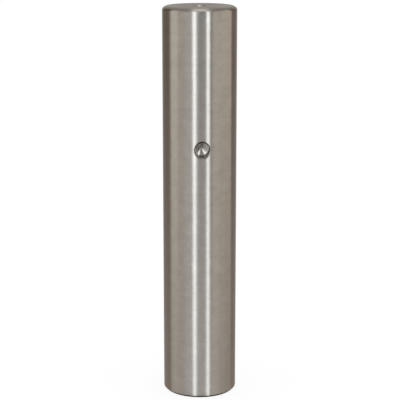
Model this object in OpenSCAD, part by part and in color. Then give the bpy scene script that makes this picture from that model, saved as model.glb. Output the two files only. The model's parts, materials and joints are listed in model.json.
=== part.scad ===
// King pin of a steering axle: one bar of alloy steel, turned, hardened and ground.
// The Z axis runs along the pin, and the origin is the centre of its bottom face.
// The knuckle's bushes run on the shank. A lock screw in the axle beam seats in the
// blind hole in its side, which faces -Y, and keeps the pin from turning or dropping.

/* [Shank] */
// Diameter of the ground shank
shank_d = 30; // [20:0.5:50]
// Length of the pin over both faces
pin_l = 160; // [110:1:260]

/* [End chamfers] */
// Height of the top chamfer along the pin
top_chamfer_h = 0.8; // [0.2:0.1:1.5]
// Angle between the top chamfer and the pin's axis
top_chamfer_deg = 60; // [30:1:70]
// Height of the bottom chamfer along the pin
bottom_chamfer_h = 0.8; // [0.2:0.1:1.5]
// Angle between the bottom chamfer and the pin's axis
bottom_chamfer_deg = 45; // [30:1:70]

/* [Lock screw hole] */
// Diameter of the drilled hole
lock_hole_d = 6; // [4:0.1:8]
// Depth of the hole at full diameter, from the crest of the shank
lock_hole_depth = 5.8; // [3:0.1:7]
// Included angle of the drill point
lock_point_deg = 140; // [90:1:150]
// Width of the countersink round the hole
lock_sink_w = 0.7; // [0.2:0.1:1]
// Included angle of the countersink
lock_sink_deg = 90; // [60:1:120]
// Distance of the hole's axis below the top face
lock_hole_drop = 55.8; // [15:0.1:95]

/* [Centre holes] */
// Diameter of the centre drill's pilot
centre_pilot_d = 2.5; // [1.6:0.1:4]
// Depth of the pilot at full diameter, below its cone
centre_pilot_l = 3; // [1:0.1:6]
// Included angle of the pilot's drill point
centre_point_deg = 120; // [90:1:150]
// Diameter of the centre cone at the end face
centre_cone_d = 5.3; // [4.5:0.1:8]
// Included angle of the centre cone, which fits the lathe and grinder centres
centre_cone_deg = 60; // [50:1:90]

/* [Hidden] */
$fn = 180;

steel = [0.61, 0.58, 0.54];

// How far each cutter stands out past the surface that it cuts
cut_past = 1;

shank_r = shank_d / 2;
top_face_r = shank_r - top_chamfer_h * tan(top_chamfer_deg);
bottom_face_r = shank_r - bottom_chamfer_h * tan(bottom_chamfer_deg);

lock_hole_z = pin_l - lock_hole_drop;
lock_hole_r = lock_hole_d / 2;
lock_point_h = lock_hole_r / tan(lock_point_deg / 2);
lock_sink_h = lock_sink_w / tan(lock_sink_deg / 2);
lock_sink_past_r = lock_hole_r + (lock_sink_h + cut_past) * tan(lock_sink_deg / 2);

centre_pilot_r = centre_pilot_d / 2;
centre_cone_r = centre_cone_d / 2;
centre_cone_h = (centre_cone_r - centre_pilot_r) / tan(centre_cone_deg / 2);
centre_point_h = centre_pilot_r / tan(centre_point_deg / 2);
centre_past_r = centre_cone_r + cut_past * tan(centre_cone_deg / 2);

// The turned bar with both its chamfers, from half its outline
module shank() {
    rotate_extrude()
        polygon([
            [0, 0],
            [bottom_face_r, 0],
            [shank_r, bottom_chamfer_h],
            [shank_r, pin_l - top_chamfer_h],
            [top_face_r, pin_l],
            [0, pin_l]
        ]);
}

// Drill and countersink of the lock screw's hole, sunk along -Z from the crest at Z = 0
module lock_hole_cutter() {
    rotate_extrude()
        polygon([
            [0, -lock_hole_depth - lock_point_h],
            [lock_hole_r, -lock_hole_depth],
            [lock_hole_r, -lock_sink_h],
            [lock_sink_past_r, cut_past],
            [0, cut_past]
        ]);
}

// Centre drill, sunk along -Z from the end face at Z = 0
module centre_hole_cutter() {
    rotate_extrude()
        polygon([
            [0, -centre_cone_h - centre_pilot_l - centre_point_h],
            [centre_pilot_r, -centre_cone_h - centre_pilot_l],
            [centre_pilot_r, -centre_cone_h],
            [centre_past_r, cut_past],
            [0, cut_past]
        ]);
}

module king_pin() {
    color(steel)
        difference() {
            shank();
            translate([0, -shank_r, lock_hole_z])
                rotate([90, 0, 0])
                    lock_hole_cutter();
            translate([0, 0, pin_l])
                centre_hole_cutter();
            rotate([180, 0, 0])
                centre_hole_cutter();
        }
}

king_pin();
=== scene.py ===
import json
import math

import bmesh
import bpy
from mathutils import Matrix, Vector


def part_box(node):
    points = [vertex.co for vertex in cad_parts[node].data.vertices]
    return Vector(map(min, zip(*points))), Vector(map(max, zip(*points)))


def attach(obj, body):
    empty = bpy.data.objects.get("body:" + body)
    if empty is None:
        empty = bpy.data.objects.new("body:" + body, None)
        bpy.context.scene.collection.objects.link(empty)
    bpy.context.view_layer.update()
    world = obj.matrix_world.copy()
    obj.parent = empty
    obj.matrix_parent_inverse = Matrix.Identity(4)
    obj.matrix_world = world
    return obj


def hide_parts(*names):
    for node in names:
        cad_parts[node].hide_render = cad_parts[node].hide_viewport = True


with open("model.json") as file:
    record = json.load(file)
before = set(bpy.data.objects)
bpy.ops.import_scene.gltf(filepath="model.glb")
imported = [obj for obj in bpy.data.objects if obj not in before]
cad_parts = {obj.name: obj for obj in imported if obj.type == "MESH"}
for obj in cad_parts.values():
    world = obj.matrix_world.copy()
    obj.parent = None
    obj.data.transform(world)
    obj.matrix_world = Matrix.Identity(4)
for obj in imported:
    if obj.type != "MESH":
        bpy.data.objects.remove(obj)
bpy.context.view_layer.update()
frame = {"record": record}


# The bar. One piece of alloy steel, turned between centres with a chamfer at each end,
# then hardened and ground on its shank. It is drawn ring by ring, as a lathe shapes it.
# Its turned edges are broken by a tenth of a millimetre, and use has rounded its top shoulder.

MM = 0.001
NEARLY_ZERO = 0.001 * MM
LATHE_STEPS = 512

mounts = {mount["name"]: mount for mount in frame["record"]["mounts"]}
pin_low, pin_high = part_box("king_pin")
pin_l = pin_high.z - pin_low.z
shank_r = mounts["journal"]["dims"]["r_mm"] * MM
lock_hole = mounts["lock_hole"]
hole_z = lock_hole["pos_m"][2]

top_chamfer_h = 0.8 * MM
top_chamfer_angle = math.radians(60)
bottom_chamfer_h = 0.8 * MM
bottom_chamfer_angle = math.radians(45)
top_face_r = shank_r - top_chamfer_h * math.tan(top_chamfer_angle)
bottom_face_r = shank_r - bottom_chamfer_h * math.tan(bottom_chamfer_angle)

centre_pilot_r = 1.25 * MM
centre_pilot_l = 3.0 * MM
centre_cone_r = 2.65 * MM
centre_cone_slope = math.radians(30)
centre_point_slope = math.radians(60)
centre_cone_h = (centre_cone_r - centre_pilot_r) / math.tan(centre_cone_slope)
centre_shoulder = centre_cone_h + centre_pilot_l
centre_depth = centre_shoulder + centre_pilot_r / math.tan(centre_point_slope)

# A ring near each cone's tip keeps the shading true there.
chisel_r = 0.1 * MM
chisel_rise = chisel_r / math.tan(centre_point_slope)

edge_break = 0.1 * MM
edge_break_segments = 3
shoulder_blend = 0.7 * MM
shoulder_segments = 8
sharp_edge = math.radians(20)
hole_band = 6.0 * MM


def select_where(piece, test):
    """Selects the vertices whose places pass the test, with the edges between them."""
    bpy.ops.mesh.select_mode(type="VERT")
    bpy.ops.mesh.select_all(action="DESELECT")
    shape = bmesh.from_edit_mesh(piece.data)
    for vert in shape.verts:
        vert.select_set(test(vert.co))
    shape.select_flush(True)
    bmesh.update_edit_mesh(piece.data)


def turn_between(name, start_z, rings, end_z):
    """Turns a closed body about Z from one point on the axis, over the rings, to another."""
    ring_r, ring_z = rings[0]
    bpy.ops.object.select_all(action="DESELECT")
    bpy.ops.mesh.primitive_circle_add(
        vertices=LATHE_STEPS, radius=ring_r, fill_type="TRIFAN", location=(0, 0, ring_z)
    )
    piece = bpy.context.object
    piece.name = name
    bpy.ops.object.transform_apply()
    bpy.ops.object.mode_set(mode="EDIT")
    select_where(piece, lambda place: place.xy.length < NEARLY_ZERO)
    bpy.ops.transform.translate(value=(0, 0, start_z - ring_z))
    select_where(piece, lambda place: place.xy.length > NEARLY_ZERO)
    for next_r, next_z in rings[1:]:
        growth = next_r / ring_r
        bpy.ops.mesh.extrude_edges_move(
            TRANSFORM_OT_translate={"value": (0, 0, next_z - ring_z)}
        )
        bpy.ops.transform.resize(value=(growth, growth, 1), center_override=(0, 0, next_z))
        ring_r, ring_z = next_r, next_z
    bpy.ops.mesh.extrude_edges_move(TRANSFORM_OT_translate={"value": (0, 0, end_z - ring_z)})
    bpy.ops.mesh.merge(type="CENTER")
    bpy.ops.mesh.select_all(action="SELECT")
    bpy.ops.mesh.normals_make_consistent(inside=False)
    bpy.ops.object.mode_set(mode="OBJECT")
    return piece


bar = turn_between(
    "ground_bar",
    centre_depth,
    [
        (chisel_r, centre_depth - chisel_rise),
        (centre_pilot_r, centre_shoulder),
        (centre_pilot_r, centre_cone_h),
        (centre_cone_r, 0),
        (bottom_face_r, 0),
        (shank_r, bottom_chamfer_h),
        (shank_r, hole_z - hole_band),
        (shank_r, hole_z + hole_band),
        (shank_r, pin_l - top_chamfer_h),
        (top_face_r, pin_l),
        (centre_cone_r, pin_l),
        (centre_pilot_r, pin_l - centre_cone_h),
        (centre_pilot_r, pin_l - centre_shoulder),
        (chisel_r, pin_l - centre_depth + chisel_rise),
    ],
    pin_l - centre_depth,
)
bpy.ops.object.mode_set(mode="EDIT")
shoulder_z = pin_l - top_chamfer_h
select_where(bar, lambda place: abs(place.z - shoulder_z) < NEARLY_ZERO)
bpy.ops.mesh.bevel(offset=shoulder_blend, segments=shoulder_segments, affect="EDGES")
bpy.ops.mesh.select_mode(type="EDGE")
bpy.ops.mesh.select_all(action="DESELECT")
bpy.ops.mesh.edges_select_sharp(sharpness=sharp_edge)
bpy.ops.mesh.bevel(offset=edge_break, segments=edge_break_segments, affect="EDGES")
bpy.ops.object.mode_set(mode="OBJECT")


# The lock screw's hole. It is drilled into the side with a jobber drill, which leaves a
# blunt cone with a slightly rounded tip at the bottom, and countersunk before the shank is
# ground, so its edge stays crisp.

hole_r = lock_hole["dims"]["r_mm"] * MM
half_wall = lock_hole["dims"]["length_mm"] * MM / 2
wall_middle = shank_r + lock_hole["pos_m"][1]
hole_depth = wall_middle + half_wall
drill_point_slope = math.radians(70)
hole_tip = hole_r / math.tan(drill_point_slope)
sink_w = wall_middle - half_wall
sink_r = hole_r + sink_w
cut_past = 1.0 * MM

# The rounded tip is a parabola in three rings, as steep at its rim as the cone round it.
web_r = 0.2 * MM
web_rise = web_r * hole_tip / hole_r / 2
point_z = web_rise - hole_depth - hole_tip

drill = turn_between(
    "lock_hole_drill",
    point_z,
    [
        (web_r / 3, point_z + web_rise / 9),
        (web_r * 2 / 3, point_z + web_rise * 4 / 9),
        (web_r, point_z + web_rise),
        (hole_r, -hole_depth),
        (hole_r, -sink_w),
        (sink_r + cut_past, cut_past),
    ],
    cut_past,
)
drill.rotation_euler = (math.pi / 2, 0, 0)
drill.location = (0, -shank_r, hole_z)
bpy.ops.object.select_all(action="DESELECT")
drill.select_set(True)
bpy.context.view_layer.objects.active = drill
bpy.ops.object.transform_apply()

bpy.context.view_layer.objects.active = bar
drilling = bar.modifiers.new("drilling", "BOOLEAN")
drilling.operation = "DIFFERENCE"
drilling.solver = "EXACT"
drilling.object = drill
bpy.ops.object.modifier_apply(modifier=drilling.name)
bpy.data.objects.remove(drill)
bpy.ops.object.select_all(action="DESELECT")
bar.select_set(True)

# Shading weighted by area keeps the long faces true beside their narrow edge breaks. The
# modifier compares areas in whole units, so the bar is a thousand times larger meanwhile.
bpy.ops.object.shade_smooth_by_angle(angle=sharp_edge)
bar.scale = (1 / MM, 1 / MM, 1 / MM)
bpy.ops.object.transform_apply()
shading = bar.modifiers.new("true_shading", "WEIGHTED_NORMAL")
shading.keep_sharp = True
bpy.ops.object.modifier_apply(modifier=shading.name)
bar.scale = (MM, MM, MM)
bpy.ops.object.transform_apply()

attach(bar, "root")
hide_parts("king_pin")


# The ground shank. Hardened steel from the cylindrical grinder: a satin face whose lay of
# fine scratches runs round the pin, so it mirrors sharply across and smears lengthwise.
# The real lay is a few hundredths of a millimetre wide, and it is drawn coarser to show.

def srgb(code):
    """A hex colour as linear red, green, blue and alpha."""
    parts = [int(code[start : start + 2], 16) / 255 for start in (1, 3, 5)]
    return tuple(
        part / 12.92 if part <= 0.04045 else ((part + 0.055) / 1.055) ** 2.4 for part in parts
    ) + (1.0,)


def add_node(tree, kind, inputs=None, **settings):
    """Adds a node with its settings. An input is a value, an output, or a node's main output."""
    made = tree.nodes.new(kind)
    for name, value in settings.items():
        setattr(made, name, value)
    for name, value in (inputs or {}).items():
        shown = [socket for socket in made.inputs if socket.enabled]
        socket = shown[name] if isinstance(name, int) else {s.name: s for s in shown}[name]
        if isinstance(value, bpy.types.Node):
            value = next(output for output in value.outputs if output.enabled)
        if isinstance(value, bpy.types.NodeSocket):
            tree.links.new(value, socket)
        else:
            socket.default_value = value
    return made


def new_material(name):
    """A material with an empty node tree, and that tree."""
    material = bpy.data.materials.new(name)
    material.use_nodes = True
    material.node_tree.nodes.clear()
    return material, material.node_tree


STEEL_LIGHT = srgb("#a69f96")
STEEL_DARK = srgb("#948e85")
STEEL_BROWN = srgb("#9f978b")
SCRATCH_BRIGHT = srgb("#b0aaa1")

QUARTER_TURN = 0.25

lay_pitch = 0.12 * MM
lay_length = 9.0 * MM
lay_depth = 0.00024 * MM
feed_pitch = 1.4 * MM
feed_length = 60.0 * MM
feed_share = 0.12
mottle_size = 5.0 * MM
mottle_grain = 0.84
tone_low, tone_high = 0.34, 0.66
tint_size = 14.0 * MM
tint_grain = 0.6
tint_low, tint_high = 0.4, 0.7
tint_share = 0.5
satin_low, satin_high = 0.3, 0.7
satin_sharpest, satin_dullest = 0.30, 0.315
scratch_gap = 5.0 * MM
scratch_length = 60.0 * MM
scratch_tilt = math.radians(7)
scratch_depth = 0.002 * MM
scratch_middle = 0.5
scratch_half_width = 0.006
scratched_low, scratched_high = 0.5, 0.7

ground_steel, tree = new_material("ground_steel")
place = add_node(tree, "ShaderNodeTexCoord").outputs["Object"]
lay_place = add_node(
    tree,
    "ShaderNodeMapping",
    {"Vector": place, "Scale": (1 / lay_length, 1 / lay_length, 1 / lay_pitch)},
)
lay = add_node(tree, "ShaderNodeTexNoise", {"Vector": lay_place, "Scale": 1.0, "Detail": 3.0})
feed_place = add_node(
    tree,
    "ShaderNodeMapping",
    {"Vector": place, "Scale": (1 / feed_length, 1 / feed_length, 1 / feed_pitch)},
)
feed = add_node(tree, "ShaderNodeTexNoise", {"Vector": feed_place, "Scale": 1.0, "Detail": 2.0})
mottle = add_node(
    tree,
    "ShaderNodeTexNoise",
    {"Vector": place, "Scale": 1 / mottle_size, "Detail": 6.0, "Roughness": mottle_grain},
)
scratch_place = add_node(
    tree,
    "ShaderNodeMapping",
    {
        "Vector": place,
        "Rotation": (scratch_tilt, scratch_tilt, 0),
        "Scale": (1 / scratch_gap, 1 / scratch_gap, 1 / scratch_length),
    },
)
scratch_field = add_node(
    tree, "ShaderNodeTexNoise", {"Vector": scratch_place, "Scale": 1.0, "Detail": 1.0}
)
scratch_offset = add_node(
    tree, "ShaderNodeMath", {0: scratch_field, 1: scratch_middle}, operation="SUBTRACT"
)
scratch_distance = add_node(tree, "ShaderNodeMath", {0: scratch_offset}, operation="ABSOLUTE")
scratch_line = add_node(
    tree,
    "ShaderNodeMapRange",
    {
        "Value": scratch_distance,
        "From Min": 0.0,
        "From Max": scratch_half_width,
        "To Min": 1.0,
        "To Max": 0.0,
    },
    interpolation_type="SMOOTHSTEP",
)
scratch_patches = add_node(
    tree,
    "ShaderNodeMapRange",
    {"Value": mottle, "From Min": scratched_low, "From Max": scratched_high},
    interpolation_type="SMOOTHSTEP",
)
scratches = add_node(
    tree, "ShaderNodeMath", {0: scratch_line, 1: scratch_patches}, operation="MULTIPLY"
)
blotch = add_node(tree, "ShaderNodeMix", {"Factor": feed_share, "A": mottle, "B": feed})
tone = add_node(
    tree,
    "ShaderNodeMapRange",
    {"Value": blotch, "From Min": tone_low, "From Max": tone_high},
)
clean_colour = add_node(
    tree,
    "ShaderNodeMix",
    {"Factor": tone, "A": STEEL_DARK, "B": STEEL_LIGHT},
    data_type="RGBA",
)
tint_field = add_node(
    tree,
    "ShaderNodeTexNoise",
    {"Vector": place, "Scale": 1 / tint_size, "Detail": 3.0, "Roughness": tint_grain},
)
tint = add_node(
    tree,
    "ShaderNodeMapRange",
    {"Value": tint_field, "From Min": tint_low, "From Max": tint_high, "To Max": tint_share},
)
steel_colour = add_node(
    tree,
    "ShaderNodeMix",
    {"Factor": tint, "A": clean_colour, "B": STEEL_BROWN},
    data_type="RGBA",
)
worn_colour = add_node(
    tree,
    "ShaderNodeMix",
    {"Factor": scratches, "A": steel_colour, "B": SCRATCH_BRIGHT},
    data_type="RGBA",
)
satin = add_node(
    tree,
    "ShaderNodeMapRange",
    {
        "Value": blotch,
        "From Min": satin_low,
        "From Max": satin_high,
        "To Min": satin_sharpest,
        "To Max": satin_dullest,
    },
)
lay_bump = add_node(
    tree, "ShaderNodeBump", {"Height": lay, "Strength": 1.0, "Distance": lay_depth}
)
scratch_bump = add_node(
    tree,
    "ShaderNodeBump",
    {"Height": scratches, "Strength": 1.0, "Distance": scratch_depth, "Normal": lay_bump},
    invert=True,
)
round_the_pin = add_node(
    tree, "ShaderNodeVectorMath", {0: (0, 0, 1), 1: place}, operation="CROSS_PRODUCT"
)
shader = add_node(
    tree,
    "ShaderNodeBsdfPrincipled",
    {
        "Base Color": worn_colour,
        "Metallic": 1.0,
        "Roughness": satin,
        "Anisotropic": 1.0,
        "Anisotropic Rotation": QUARTER_TURN,
        "Tangent": round_the_pin,
        "Normal": scratch_bump,
    },
)
add_node(tree, "ShaderNodeOutputMaterial", {"Surface": shader})
bar.data.materials.append(ground_steel)


# The turned ends. The faces and chamfers keep the rings of the lathe tool and are a little
# darker than the ground shank, as only the shank is ground. The centre holes are lapped
# smooth before the grinding, so that the pin runs true, and shine; their lighter colour is
# partly that of clean lapped steel and partly a painted highlight.

TURNED_LIGHT = srgb("#989187")
TURNED_DARK = srgb("#8c857b")
# Lapped steel, made lighter partly as a painted highlight for the glint in the centre holes.
LAPPED_AND_GLINT = srgb("#aca69d")

turning_pitch = 0.3 * MM
stain_size = 7.0 * MM
turning_depth = 0.0015 * MM
turned_grain = 0.8
turned_sharpest, turned_dullest = 0.24, 0.32
lapped_dullness = 0.08

turned_steel, tree = new_material("turned_steel")
place = add_node(tree, "ShaderNodeTexCoord").outputs["Object"]
flat_place = add_node(tree, "ShaderNodeVectorMath", {0: place, 1: (1, 1, 0)}, operation="MULTIPLY")
radius = add_node(tree, "ShaderNodeVectorMath", {0: flat_place}, operation="LENGTH")
height = add_node(tree, "ShaderNodeSeparateXYZ", {"Vector": place}).outputs["Z"]
travel = add_node(tree, "ShaderNodeMath", {0: radius.outputs["Value"], 1: height}, operation="ADD")
ring_place = add_node(
    tree, "ShaderNodeMath", {0: travel, 1: 1 / turning_pitch}, operation="MULTIPLY"
)
rings = add_node(
    tree,
    "ShaderNodeTexNoise",
    {"W": ring_place, "Scale": 1.0, "Detail": 3.0},
    noise_dimensions="1D",
)
stain = add_node(
    tree, "ShaderNodeTexNoise", {"Vector": place, "Scale": 1 / stain_size, "Detail": 5.0}
)
turned_colour = add_node(
    tree,
    "ShaderNodeMix",
    {"Factor": stain, "A": TURNED_DARK, "B": TURNED_LIGHT},
    data_type="RGBA",
)
in_centre = add_node(
    tree,
    "ShaderNodeMath",
    {0: radius.outputs["Value"], 1: centre_cone_r},
    operation="LESS_THAN",
)
# Inside the centre holes the colour turns lighter: partly clean lapped steel, partly a painted
# highlight.
end_colour = add_node(
    tree,
    "ShaderNodeMix",
    {"Factor": in_centre, "A": turned_colour, "B": LAPPED_AND_GLINT},
    data_type="RGBA",
)
turned_dullness = add_node(
    tree,
    "ShaderNodeMapRange",
    {"Value": stain, "To Min": turned_sharpest, "To Max": turned_dullest},
)
dullness = add_node(
    tree,
    "ShaderNodeMix",
    {"Factor": in_centre, "A": turned_dullness, "B": lapped_dullness},
)
ring_bump = add_node(
    tree, "ShaderNodeBump", {"Height": rings, "Strength": 1.0, "Distance": turning_depth}
)
round_the_pin = add_node(
    tree, "ShaderNodeVectorMath", {0: (0, 0, 1), 1: place}, operation="CROSS_PRODUCT"
)
shader = add_node(
    tree,
    "ShaderNodeBsdfPrincipled",
    {
        "Base Color": end_colour,
        "Metallic": 1.0,
        "Roughness": dullness,
        "Anisotropic": turned_grain,
        "Anisotropic Rotation": QUARTER_TURN,
        "Tangent": round_the_pin,
        "Normal": ring_bump,
    },
)
add_node(tree, "ShaderNodeOutputMaterial", {"Surface": shader})
bar.data.materials.append(turned_steel)


# The drilled steel of the hole. Its wall and cone carry the drill's own rings round the
# hole's axis, and the hardening has left them darker than the ground shank.

DRILLED_LIGHT = srgb("#99938a")
DRILLED_DARK = srgb("#8a837b")

drilling_pitch = 0.25 * MM
drilling_depth = 0.0006 * MM
drilled_grain = 0.8
drilled_sharpest, drilled_dullest = 0.10, 0.30
hole_mouth = (0, -shank_r, hole_z)

drilled_steel, tree = new_material("drilled_steel")
place = add_node(tree, "ShaderNodeTexCoord").outputs["Object"]
hole_place = add_node(
    tree, "ShaderNodeVectorMath", {0: place, 1: hole_mouth}, operation="SUBTRACT"
)
flat_place = add_node(
    tree, "ShaderNodeVectorMath", {0: hole_place, 1: (1, 0, 1)}, operation="MULTIPLY"
)
radius = add_node(tree, "ShaderNodeVectorMath", {0: flat_place}, operation="LENGTH")
depth = add_node(tree, "ShaderNodeSeparateXYZ", {"Vector": hole_place}).outputs["Y"]
travel = add_node(tree, "ShaderNodeMath", {0: radius.outputs["Value"], 1: depth}, operation="ADD")
ring_place = add_node(
    tree, "ShaderNodeMath", {0: travel, 1: 1 / drilling_pitch}, operation="MULTIPLY"
)
rings = add_node(
    tree,
    "ShaderNodeTexNoise",
    {"W": ring_place, "Scale": 1.0, "Detail": 3.0},
    noise_dimensions="1D",
)
drilled_colour = add_node(
    tree,
    "ShaderNodeMix",
    {"Factor": rings, "A": DRILLED_DARK, "B": DRILLED_LIGHT},
    data_type="RGBA",
)
drilled_dullness = add_node(
    tree,
    "ShaderNodeMapRange",
    {"Value": rings, "To Min": drilled_sharpest, "To Max": drilled_dullest},
)
ring_bump = add_node(
    tree, "ShaderNodeBump", {"Height": rings, "Strength": 1.0, "Distance": drilling_depth}
)
round_the_hole = add_node(
    tree, "ShaderNodeVectorMath", {0: (0, 1, 0), 1: hole_place}, operation="CROSS_PRODUCT"
)
shader = add_node(
    tree,
    "ShaderNodeBsdfPrincipled",
    {
        "Base Color": drilled_colour,
        "Metallic": 1.0,
        "Roughness": drilled_dullness,
        "Anisotropic": drilled_grain,
        "Anisotropic Rotation": QUARTER_TURN,
        "Tangent": round_the_hole,
        "Normal": ring_bump,
    },
)
add_node(tree, "ShaderNodeOutputMaterial", {"Surface": shader})
bar.data.materials.append(drilled_steel)

# Each face takes the steel of the tool that cut it.
GROUND, TURNED, DRILLED = range(3)
skin = 0.02 * MM
hole_floor_y = -shank_r + hole_depth + hole_tip + skin
for face in bar.data.polygons:
    middle = face.center
    from_hole = math.hypot(middle.x, middle.z - hole_z)
    below_skin = middle.xy.length < shank_r - skin
    if from_hole < sink_r and middle.y < hole_floor_y and below_skin:
        face.material_index = DRILLED
    elif below_skin:
        face.material_index = TURNED
    else:
        face.material_index = GROUND


# The studio. The pin stands on a pale floor in a white room. It mirrors the room, two tall
# strip lamps, pale cards in front and at its sides, and dark cards behind its left and
# right. The cards and lamps show in reflections alone.

WHITE = srgb("#ffffff")
COOL_WHITE = srgb("#f9faff")
PALE_BLUE = srgb("#f4f7ff")
STRIP_WHITE = srgb("#ebf4ff")
CREAM = srgb("#fffcf6")
SOFT_WHITE = srgb("#fff7f1")
WARM_WHITE = srgb("#fff3eb")
AMBER_WHITE = srgb("#ffeee1")
STRIP = (STRIP_WHITE, STRIP_WHITE)
WARM = (AMBER_WHITE, WARM_WHITE)

camera_turn = math.radians(-4.2)
panel_distance = 0.6
panel_steps = 720
FULL_HEIGHT = (-1.2, 0.6)
LAMP_HEADS = (0.26, 0.66)
CARD_HEAD = (0.36, 0.6)
OVERHEAD = (0.66, 1.2)
BELOW_CEILING = (-1.2, 0.45)
EDGE_NEARER, LAMP_NEARER, HEAD_NEARER = 0.01, 0.02, 0.04
mirrored_from_top = 0.11
mirrored_from_foot = -0.23


def glow(name, colours, levels):
    """A material that only gives light: colour and level where the pin's top and foot mirror it."""
    material, tree = new_material(name)
    place = add_node(tree, "ShaderNodeTexCoord").outputs["Object"]
    height = add_node(tree, "ShaderNodeSeparateXYZ", {"Vector": place}).outputs["Z"]
    footward = add_node(
        tree,
        "ShaderNodeMapRange",
        {"Value": height, "From Min": mirrored_from_top, "From Max": mirrored_from_foot},
    )
    colour = add_node(
        tree,
        "ShaderNodeMix",
        {"Factor": footward, "A": colours[0], "B": colours[1]},
        data_type="RGBA",
    )
    level = add_node(
        tree, "ShaderNodeMix", {"Factor": footward, "A": levels[0], "B": levels[1]}
    )
    light = add_node(tree, "ShaderNodeEmission", {"Color": colour, "Strength": level})
    add_node(tree, "ShaderNodeOutputMaterial", {"Surface": light})
    return material


def studio_panel(name, turns, colours, levels, heights=FULL_HEIGHT, nearer=0.0):
    """A curved panel round the pin, between two angles in degrees from the camera."""
    low, high = heights
    bpy.ops.object.select_all(action="DESELECT")
    bpy.ops.mesh.primitive_cylinder_add(
        vertices=panel_steps,
        radius=panel_distance - nearer,
        depth=high - low,
        end_fill_type="NOTHING",
        location=(0, 0, (low + high) / 2),
    )
    panel = bpy.context.object
    panel.name = name
    bpy.ops.object.transform_apply()
    middle = math.radians(sum(turns) / 2) + camera_turn
    reach = math.radians(turns[1] - turns[0]) / 2
    facing = Vector((math.sin(middle), -math.cos(middle), 0))
    bpy.ops.object.mode_set(mode="EDIT")
    bpy.ops.mesh.select_mode(type="FACE")
    bpy.ops.mesh.select_all(action="DESELECT")
    shape = bmesh.from_edit_mesh(panel.data)
    for face in shape.faces:
        spot = face.calc_center_median()
        face.select_set(Vector((spot.x, spot.y, 0)).angle(facing) > reach)
    bpy.ops.mesh.delete(type="FACE")
    bpy.ops.object.mode_set(mode="OBJECT")
    panel.data.materials.append(glow(name, colours, levels))
    panel.visible_camera = False
    panel.visible_diffuse = False
    panel.visible_shadow = False


# Cards, round the pin from the left
studio_panel("dark_card_left", (-152, -100.4), WARM, (0.25, 0.57))
studio_panel("dark_edge_left", (-108, -100.4), WARM, (0.5, 0.65), nearer=EDGE_NEARER)
studio_panel("side_lamp_left", (-100.4, -71), (WHITE, WHITE), (1.42, 0.70))
studio_panel("side_card_left", (-71, -47), (CREAM, COOL_WHITE), (1.02, 0.90))
studio_panel("near_card_left", (-47, -21.4), (COOL_WHITE, PALE_BLUE), (1.08, 1.16))
studio_panel("front_card", (-21.4, 40.2), (COOL_WHITE, COOL_WHITE), (0.34, 1.33))
studio_panel("side_card_right", (40.2, 66), (WHITE, WHITE), (1.13, 0.94))
studio_panel("side_card_far_right", (66, 90), (CREAM, WHITE), (1.20, 0.66))
studio_panel("side_card_back_right", (90, 114), (WARM_WHITE, WHITE), (1.25, 0.49))
studio_panel("dark_card_right", (114, 151), (WARM_WHITE, WARM_WHITE), (0.30, 0.54))
studio_panel("rear_card", (151, 208), (SOFT_WHITE, SOFT_WHITE), (0.50, 0.50), BELOW_CEILING)

# Strip lamps with their softer edges and brighter heads, and what hangs over the pin
studio_panel("strip_edge_left", (-11.4, -5), STRIP, (1.35, 1.3), nearer=EDGE_NEARER)
studio_panel("strip_lamp_left", (-21.1, -10.6), STRIP, (3.9, 3.0), nearer=LAMP_NEARER)
studio_panel("strip_head_left", (-22, -11.4), STRIP, (5.5, 5.5), LAMP_HEADS, HEAD_NEARER)
studio_panel("strip_edge_right", (19.2, 21.6), STRIP, (0.8, 1.15), nearer=EDGE_NEARER)
studio_panel("strip_lamp_right", (21.5, 31.0), STRIP, (3.75, 3.0), nearer=LAMP_NEARER)
studio_panel("strip_head_right", (22, 31.2), STRIP, (5.5, 5.5), LAMP_HEADS, HEAD_NEARER)
studio_panel("front_card_head", (-10.6, 21.4), STRIP, (0.95, 0.95), CARD_HEAD, EDGE_NEARER)
studio_panel("overhead_lamp", (-36, 46), STRIP, (1.6, 1.6), OVERHEAD)

# A round lamp over the pin, a little behind it, lights the worn shoulder of its top.
disc_steps = 64
top_lamp_r = 0.27
top_lamp_rise = math.radians(84)
top_lamp_distance = 1.1
top_lamp_aside = 0.04
top_lamp_level = 3.5

bpy.ops.object.select_all(action="DESELECT")
bpy.ops.mesh.primitive_circle_add(
    vertices=disc_steps,
    radius=top_lamp_r,
    fill_type="NGON",
    location=(
        top_lamp_aside,
        top_lamp_distance * math.cos(top_lamp_rise),
        pin_l + top_lamp_distance * math.sin(top_lamp_rise),
    ),
    rotation=(math.pi / 2 - top_lamp_rise, 0, 0),
)
top_lamp = bpy.context.object
top_lamp.name = "top_lamp"
top_lamp.data.materials.append(
    glow("top_lamp", (COOL_WHITE, COOL_WHITE), (top_lamp_level, top_lamp_level))
)
top_lamp.visible_camera = False
top_lamp.visible_diffuse = False
top_lamp.visible_shadow = False

# Little light reaches the floor under the bottom chamfer, which mirrors dark.
shade_r = 14.2 * MM
shade_forward = 2.1 * MM
SHADE_GREY = srgb("#161513")

bpy.ops.object.select_all(action="DESELECT")
bpy.ops.mesh.primitive_circle_add(
    vertices=disc_steps,
    radius=shade_r,
    fill_type="NGON",
    location=(
        shade_forward * math.sin(camera_turn),
        -shade_forward * math.cos(camera_turn),
        pin_low.z,
    ),
)
shade = bpy.context.object
shade.name = "foot_shade"
shade.data.materials.append(glow("foot_shade", (SHADE_GREY, SHADE_GREY), (1.0, 1.0)))
shade.visible_camera = False
shade.visible_diffuse = False
shade.visible_shadow = False
shade.visible_transmission = False

# The floor looks evenly pale and keeps the pin's soft shadow.
floor_size = 8.0
floor_shadow = 0.15
floor_glow = 1.02
FLOOR_WHITE = srgb("#fcfcfc")

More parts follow.
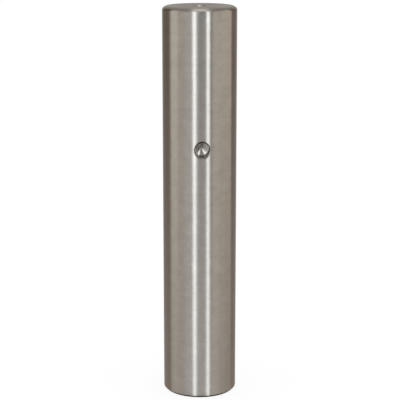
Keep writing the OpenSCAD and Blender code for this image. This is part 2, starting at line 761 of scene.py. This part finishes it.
bpy.ops.object.select_all(action="DESELECT")
bpy.ops.mesh.primitive_plane_add(size=floor_size, location=(0, 0, pin_low.z))
floor = bpy.context.object
floor.name = "floor"
floor.visible_glossy = False
floor_paint, tree = new_material("floor_paint")
sight = add_node(tree, "ShaderNodeLightPath").outputs
seen_itself = add_node(
    tree,
    "ShaderNodeMath",
    {0: sight["Is Camera Ray"], 1: sight["Is Transmission Ray"]},
    operation="MAXIMUM",
)
white_share = add_node(
    tree, "ShaderNodeMath", {0: seen_itself, 1: 1 - floor_shadow}, operation="MULTIPLY"
)
matt = add_node(tree, "ShaderNodeBsdfDiffuse", {"Color": FLOOR_WHITE})
lit = add_node(tree, "ShaderNodeEmission", {"Color": WHITE, "Strength": floor_glow})
paint = add_node(tree, "ShaderNodeMixShader", {0: white_share, 1: matt, 2: lit})
add_node(tree, "ShaderNodeOutputMaterial", {"Surface": paint})
floor.data.materials.append(floor_paint)

# The white room. Its ceiling mirrors darker than its walls.
room_light = 0.97
ceiling_level = 0.58
wall_top = math.sin(math.radians(2))
ceiling_edge = math.sin(math.radians(10))

room = bpy.data.worlds.new("white_room")
room.use_nodes = True
room.node_tree.nodes.clear()
tree = room.node_tree
sight = add_node(tree, "ShaderNodeLightPath").outputs
direction = add_node(tree, "ShaderNodeTexCoord").outputs["Generated"]
rise = add_node(tree, "ShaderNodeSeparateXYZ", {"Vector": direction}).outputs["Z"]
mirrored_level = add_node(
    tree,
    "ShaderNodeMapRange",
    {
        "Value": rise,
        "From Min": wall_top,
        "From Max": ceiling_edge,
        "To Min": 1.0,
        "To Max": ceiling_level,
    },
)
lit_level = add_node(
    tree,
    "ShaderNodeMix",
    {"Factor": sight["Is Glossy Ray"], "A": room_light, "B": mirrored_level},
)
seen_itself = add_node(
    tree,
    "ShaderNodeMath",
    {0: sight["Is Camera Ray"], 1: sight["Is Transmission Ray"]},
    operation="MAXIMUM",
)
room_level = add_node(tree, "ShaderNodeMix", {"Factor": seen_itself, "A": lit_level, "B": 1.0})
walls = add_node(tree, "ShaderNodeBackground", {"Color": WHITE, "Strength": room_level})
add_node(tree, "ShaderNodeOutputWorld", {"Surface": walls})
bpy.context.scene.world = room


# The camera. A long lens a little above the pin's top, turned a few degrees to the left
# of the lock screw's hole, so that the top face shows as a thin ellipse.

camera_distance = 0.5337
camera_above_pin = 0.0459
camera_pitch = math.radians(13.205)
camera_aim = math.radians(-0.016)
camera_lens = 120

lens = bpy.data.cameras.new("studio_camera")
lens.lens = camera_lens
camera = bpy.data.objects.new("studio_camera", lens)
bpy.context.scene.collection.objects.link(camera)
camera.location = (
    camera_distance * math.sin(camera_turn),
    -camera_distance * math.cos(camera_turn),
    pin_high.z + camera_above_pin,
)
camera.rotation_euler = (math.pi / 2 - camera_pitch, 0, camera_turn + camera_aim)
bpy.context.scene.camera = camera
bpy.context.scene.view_settings.view_transform = "Standard"
